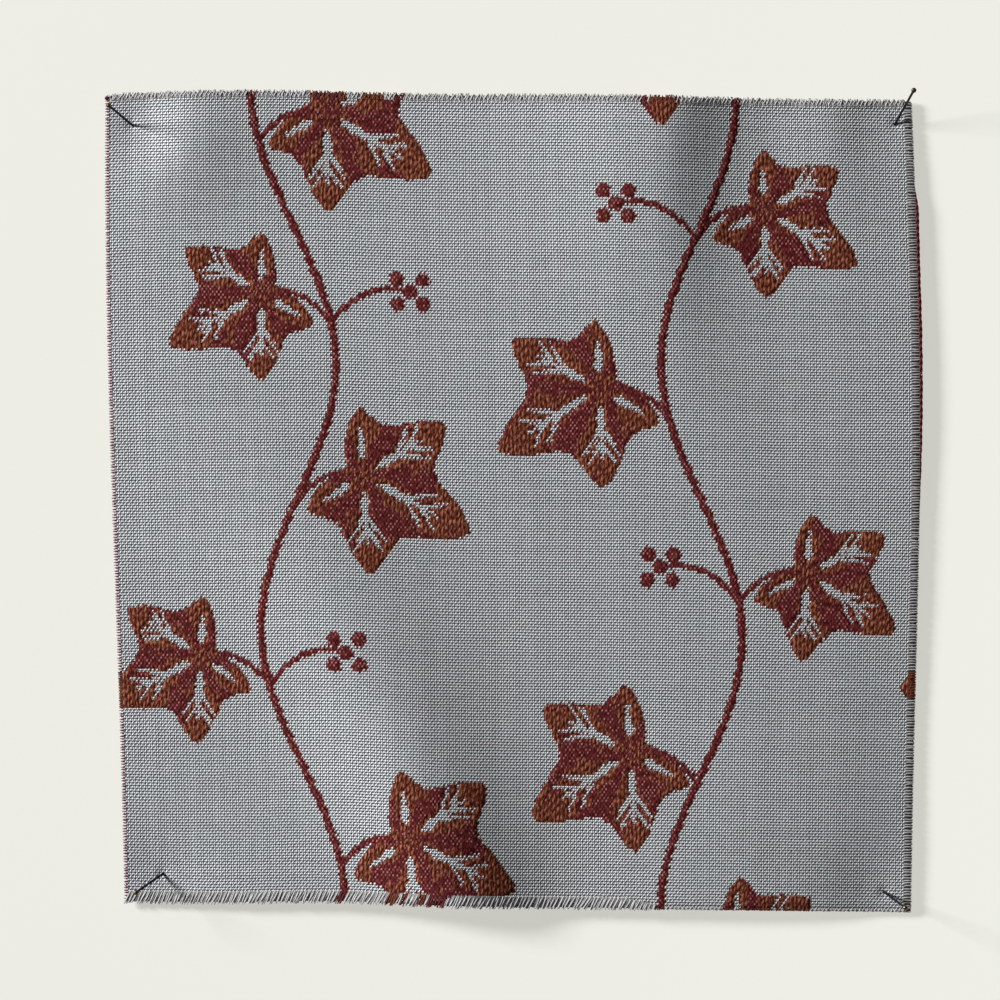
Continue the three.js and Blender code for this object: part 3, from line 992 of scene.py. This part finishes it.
def pin_place(entry, lean, pins):
    """Matrix that stands a pin, made upright with the cloth's face at 0, in its hole."""
    exposed = pins.exposed / MM
    forward = math.sqrt(exposed ** 2 - lean[0] ** 2 - lean[1] ** 2)
    direction = Vector((lean[0], -forward, lean[1])).normalized()
    place = Vector((entry[0], -THICKNESS - float(lift(*entry)), entry[1])) * MM
    return Matrix.Translation(place) @ direction.to_track_quat("Z", "Y").to_matrix().to_4x4()


def make_pin(name, entry, lean, pins, enamel, brass):
    matrix = pin_place(entry, lean, pins)
    for part, profile, material, slot in (
        ("shaft", shaft_profile(pins), enamel, "black_enamel"),
        ("head", head_profile(pins), brass, "brass_ball"),
    ):
        bm = spun(profile, pins.sides)
        bmesh.ops.transform(bm, matrix=matrix, verts=bm.verts[:])
        piece = new_object(f"{part}_{name}", new_mesh(f"{part}_{name}", bm), material)
        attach(piece, "root")
        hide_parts(f"pin_{part}_{name}")


# Stage

def fill_light(stage):
    """World that lights weakly from all round, and is as pale as the backdrop to the camera."""
    world = bpy.data.worlds.new("studio")
    world.use_nodes = True
    g = Graph(world.node_tree)
    seen = g.add("LightPath").node.outputs["Is Camera Ray"]
    background = world.node_tree.nodes["Background"]
    g.feed(background.inputs["Strength"], g.mix_values(seen, stage.fill, 1.0))
    background.inputs["Color"].default_value = stage.backdrop
    return world


def backdrop_material(stage):
    """Pale matt surface that glows a little, and from behind is clear and casts no shadow."""
    material, g, shader = new_material("pale_backdrop", {
        "Base Color": toned(stage.backdrop, 1 - stage.glow),
        "Emission Color": toned(stage.backdrop, stage.glow),
        "Roughness": 0.95,
        "Specular IOR Level": 0.0,
    })
    material.cycles.emission_sampling = "NONE"
    place = g.add("TexCoord", output=3)
    rise = g.add("VectorMath", place, EVEN_GLOW, operation="DOT_PRODUCT")
    even = g.add("Clamp", g.plus(rise, 1.0), 0.85, 1.15)
    g.feed(shader.inputs["Emission Strength"], even)
    ray = g.add("LightPath").node
    side = g.add("NewGeometry").node.outputs["Backfacing"]
    hidden = g.math("MAXIMUM", side, ray.outputs["Is Shadow Ray"])
    mixed = g.add("MixShader", hidden, shader.outputs[0], g.add("BsdfTransparent"))
    g.feed(material.node_tree.nodes["Material Output"].inputs["Surface"], mixed)
    return material


def add_light(name, place, size, power):
    """Soft round light that faces the cloth."""
    light = bpy.data.lights.new(name, "AREA")
    light.shape = "DISK"
    light.size = size
    light.energy = power
    holder = bpy.data.objects.new(name, light)
    holder.location = place
    holder.rotation_euler = (-Vector(place)).to_track_quat("-Z", "Y").to_euler()
    holder.visible_camera = False
    bpy.context.scene.collection.objects.link(holder)


# Settings

def count_setting(name, description, value):
    return IntProperty(name=name, description=description, default=value)


def number_setting(name, description, value):
    return FloatProperty(name=name, description=description, default=value)


def length_setting(name, description, value):
    """Length, given in mm."""
    return FloatProperty(name=name, description=description, default=value * MM, unit="LENGTH")


def colour_setting(name, description, red, green, blue):
    return FloatVectorProperty(name=name, description=description, size=4, subtype="COLOR",
                               default=(red, green, blue, 1))


class WeaveSettings(bpy.types.PropertyGroup):
    """Threads, relief and yarn colours of the cloth."""

    columns: count_setting("Columns", "Half crowns across the woven area", 392)
    rows: count_setting("Rows", "Rows of crossings up the woven area", 288)
    thickness: length_setting("Thickness", "Thickness of the double cloth", THICKNESS)
    relief: length_setting("Relief", "Height of a crown over the middle of the face", 0.03)
    figure_relief: length_setting("Figure relief", "Height of the figure's floats", 0.18)
    drift: number_setting("Drift", "How far threads wander, in threads", 0.5)
    # Gap and shade are painted shadow and shade round the ground's crowns, and highlight is a
    # painted highlight on their tops
    gap: colour_setting("Gap", "Colour between the crowns", 0.012, 0.014, 0.015)
    shade: colour_setting("Shade", "Sides of the pale yarn", 0.137, 0.145, 0.155)
    ground: colour_setting("Ground", "Pale yarn of the ground", 0.463, 0.475, 0.495)
    highlight: colour_setting("Highlight", "Tops of the crowns", 0.91, 0.935, 0.965)
    # Dark is painted shade between the figure's yarns, and light is a painted highlight on the
    # brown yarn's tops
    dark: colour_setting("Dark", "Between the figure's yarns", 0.032, 0.002, 0.001)
    rust: colour_setting("Rust", "Brown yarn of the figure", 0.120, 0.030, 0.014)
    light: colour_setting("Light", "Tops of the brown yarn", 0.37, 0.14, 0.085)
    wine: colour_setting("Wine", "Dark red yarn of the figure", 0.090, 0.012, 0.014)
    speck: colour_setting("Speck", "Pink crossings in the dark red", 0.42, 0.18, 0.165)


class FraySettings(bpy.types.PropertyGroup):
    """Loose yarn ends round the cut."""

    upright_reach: length_setting("Upright ends", "How far they pass the weave", 0.7)
    left_reach: length_setting("Left ends", "How far they pass the weave", 0.4)
    right_reach: length_setting("Right ends", "How far they pass the weave", 0.25)
    pale: colour_setting("Pale", "Pale yarn", 0.39, 0.385, 0.395)
    mid: colour_setting("Middle", "Grey yarn", 0.24, 0.225, 0.225)
    dark: colour_setting("Dark", "Darkest yarn", 0.060, 0.042, 0.040)
    rose: colour_setting("Rose", "Pale pink yarn of the left cut", 0.50, 0.44, 0.46)


class PinSettings(bpy.types.PropertyGroup):
    """Pins that hold the cloth."""

    length: length_setting("Length", "Whole pin", 26)
    exposed: length_setting("Exposed", "From the cloth to the head's middle", 12)
    shaft: length_setting("Shaft", "Shaft diameter", 0.6)
    head: length_setting("Head", "Head diameter", 1.3)
    point: length_setting("Point", "Length of the point", 3)
    sides: count_setting("Sides", "Facets round a pin", 24)
    enamel: colour_setting("Enamel", "Shaft colour", 0.006, 0.006, 0.007)
    brass: colour_setting("Brass", "Head colour", 0.14, 0.105, 0.06)


class StageSettings(bpy.types.PropertyGroup):
    """Backdrop, light and camera."""

    backdrop: colour_setting("Backdrop", "Colour of the pale backdrop", 0.85, 0.85, 0.786)
    lens: number_setting("Lens", "Focal length in mm", 300.0)
    width: length_setting("View width", "What the view spans in the plane behind the cloth", 247.5)
    glow: number_setting("Glow", "Share of the backdrop that shadows don't darken", 0.63)
    key: number_setting("Key light", "Power of the main light, in watts", 118.0)
    key_size: length_setting("Key size", "Width of the main light", 500)
    rear: number_setting("Rear light", "Power of the light from behind, in watts", 6.0)
    fill: number_setting("Fill", "Strength of the light from all round", 0.12)


# Operators

class FABRIC_OT_weave(bpy.types.Operator):
    """Weave the cloth's face and back"""

    bl_idname = "fabric.weave"
    bl_label = "Weave cloth"

    def execute(self, context):
        weave = context.scene.fabric_weave
        groups = {"grid": thread_grid_group(), "crown": crown_group(), "ground": ground_group(),
                  "float": float_group(), "grain": grain_group()}
        meshes = (*weave_face(weave), weave_back(weave))
        for kind, mesh in zip(("ground", "figure", "back"), meshes):
            piece = new_object(f"cloth_{kind}", mesh, cloth_material(kind, weave, groups))
            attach(piece, "root")
            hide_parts("cloth")
        return {"FINISHED"}


class FABRIC_OT_fray(bpy.types.Operator):
    """Fray the four cut edges"""

    bl_idname = "fabric.fray"
    bl_label = "Fray edges"

    def execute(self, context):
        weave, fray = context.scene.fabric_weave, context.scene.fabric_fray
        crown_pitch = 2 * (WOVEN_RIGHT - WOVEN_LEFT) / weave.columns
        row_pitch = (WOVEN_TOP - WOVEN_BOTTOM) / weave.rows
        yarns = [
            yarn_material("pale_yarn", fray.pale, 0.25),
            yarn_material("grey_yarn", fray.mid, 0.4),
            yarn_material("dark_yarn", fray.dark, 0.5),
            yarn_material("rust_yarn", weave.rust, 0.45),
            yarn_material("wine_yarn", weave.wine, 0.5),
            yarn_material("rose_yarn", fray.rose, 0.25),
        ]
        for name, strands, materials in (
            ("warp_ends", warp_ends(fray, crown_pitch), yarns),
            ("weft_ends", weft_ends(fray, row_pitch), yarns),
            ("edge_thread", edge_thread(), [yarns[WINE]]),
        ):
            piece = new_object(name, strands_mesh(name, strands, materials))
            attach(piece, "root")
        return {"FINISHED"}


class FABRIC_OT_pins(bpy.types.Operator):
    """Turn the four pins and enamel them"""

    bl_idname = "fabric.pins"
    bl_label = "Make pins"

    def execute(self, context):
        pins = context.scene.fabric_pins
        enamel, brass = enamel_material(pins), brass_material(pins)
        for name, (entry, lean) in PINS.items():
            make_pin(name, entry, lean, pins, enamel, brass)
        return {"FINISHED"}


class FABRIC_OT_stage(bpy.types.Operator):
    """Set the backdrop, the light and the camera"""

    bl_idname = "fabric.stage"
    bl_label = "Set stage"

    def execute(self, context):
        scene, stage = context.scene, context.scene.fabric_stage
        scene.view_settings.view_transform = "Standard"
        bm = bmesh.new()
        bmesh.ops.create_grid(bm, x_segments=1, y_segments=1, size=BACKDROP_REACH)
        bmesh.ops.rotate(bm, verts=bm.verts[:], matrix=Matrix.Rotation(math.pi / 2, 3, "X"))
        bmesh.ops.translate(bm, verts=bm.verts[:], vec=(0, BACKDROP_GAP * MM, 0))
        new_object("board", new_mesh("board", bm), backdrop_material(stage))

        scene.world = fill_light(stage)
        add_light("key", KEY_PLACE, stage.key_size, stage.key)
        add_light("rear", REAR_PLACE, REAR_SIZE, stage.rear)

        camera = bpy.data.cameras.new("camera")
        camera.lens = stage.lens
        camera.clip_end = 20.0
        holder = bpy.data.objects.new("camera", camera)
        scene.collection.objects.link(holder)
        distance = stage.width * stage.lens / camera.sensor_width
        holder.location = (VIEW_MIDDLE[0] * MM, -distance, VIEW_MIDDLE[1] * MM)
        holder.rotation_euler = (math.pi / 2, 0, 0)
        scene.camera = holder
        return {"FINISHED"}


class FABRIC_PT_panel(bpy.types.Panel):
    bl_idname = "FABRIC_PT_panel"
    bl_label = "Pinned fabric sample"
    bl_space_type = "VIEW_3D"
    bl_region_type = "UI"
    bl_category = "Fabric"

    def draw(self, context):
        for operator in OPERATORS:
            self.layout.operator(operator.bl_idname)


SETTINGS = {
    "fabric_weave": WeaveSettings,
    "fabric_fray": FraySettings,
    "fabric_pins": PinSettings,
    "fabric_stage": StageSettings,
}
OPERATORS = (FABRIC_OT_weave, FABRIC_OT_fray, FABRIC_OT_pins, FABRIC_OT_stage)


def register():
    for cls in (*SETTINGS.values(), *OPERATORS, FABRIC_PT_panel):
        bpy.utils.register_class(cls)
    for name, cls in SETTINGS.items():
        setattr(bpy.types.Scene, name, PointerProperty(type=cls))


def unregister():
    for name in SETTINGS:
        delattr(bpy.types.Scene, name)
    for cls in reversed((*SETTINGS.values(), *OPERATORS, FABRIC_PT_panel)):
        bpy.utils.unregister_class(cls)


def main():
    register()
    bpy.ops.fabric.weave()
    bpy.ops.fabric.fray()
    bpy.ops.fabric.pins()
    bpy.ops.fabric.stage()
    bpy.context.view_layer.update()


if __name__ == "__main__":
    main()
